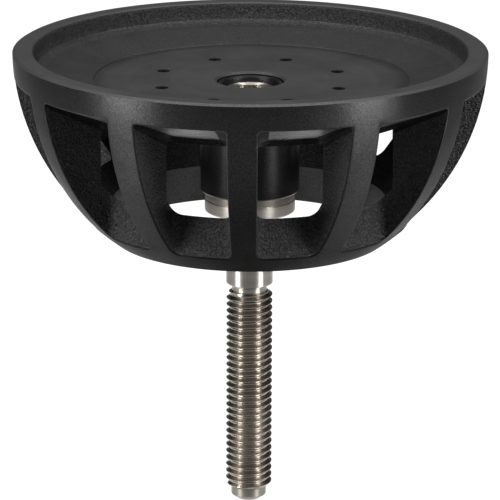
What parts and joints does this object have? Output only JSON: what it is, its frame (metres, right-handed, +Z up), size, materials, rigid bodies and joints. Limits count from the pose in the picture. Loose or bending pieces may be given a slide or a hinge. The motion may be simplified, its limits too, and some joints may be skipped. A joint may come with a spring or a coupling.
{
  "type": "tripod half ball adapter",
  "caption": "Open ribbed half ball that levels a camera head in a tripod's 100 mm bowl, with a recessed flat seat and a threaded tie-down stud below.",
  "frame": {"origin": "centre of the ball, on the axis, a quarter of a millimetre above the rim's face", "axes": "+Z up along the stud and hub axis, out of the dish; -Y to the front"},
  "size_m": [0.1, 0.1, 0.0998],
  "materials": {
    "cast_aluminium": "dark anodised casting, turned outside, rough inside",
    "black_hub": "turned and blackened, smooth",
    "ground_steel": "ground",
    "turned_steel": "turned",
    "stud_steel": "turned, with a cut thread"
  },
  "bodies": {
    "ball": {"half_ball": "cast_aluminium", "hub_bush": "black_hub"},
    "washer": {"thrust_washer": "ground_steel"},
    "stud": {"tie_down_stud": "stud_steel", "locking_collar": "turned_steel"}
  },
  "joints": [
    {"name": "stud_lift", "type": "slide", "parent": "ball", "child": "washer", "axis": [0, 0, -1], "range_m": [0, 0.0105]},
    {"name": "stud_turn", "type": "hinge", "parent": "washer", "child": "stud", "pos_m": [0, 0, -0.03], "axis": [0, 0, -1], "range_deg": [0, 2160]}
  ],
  "couplings": [
    {"joint": "stud_turn", "follows": "stud_lift", "rad_per_m": 3590.4}
  ]
}
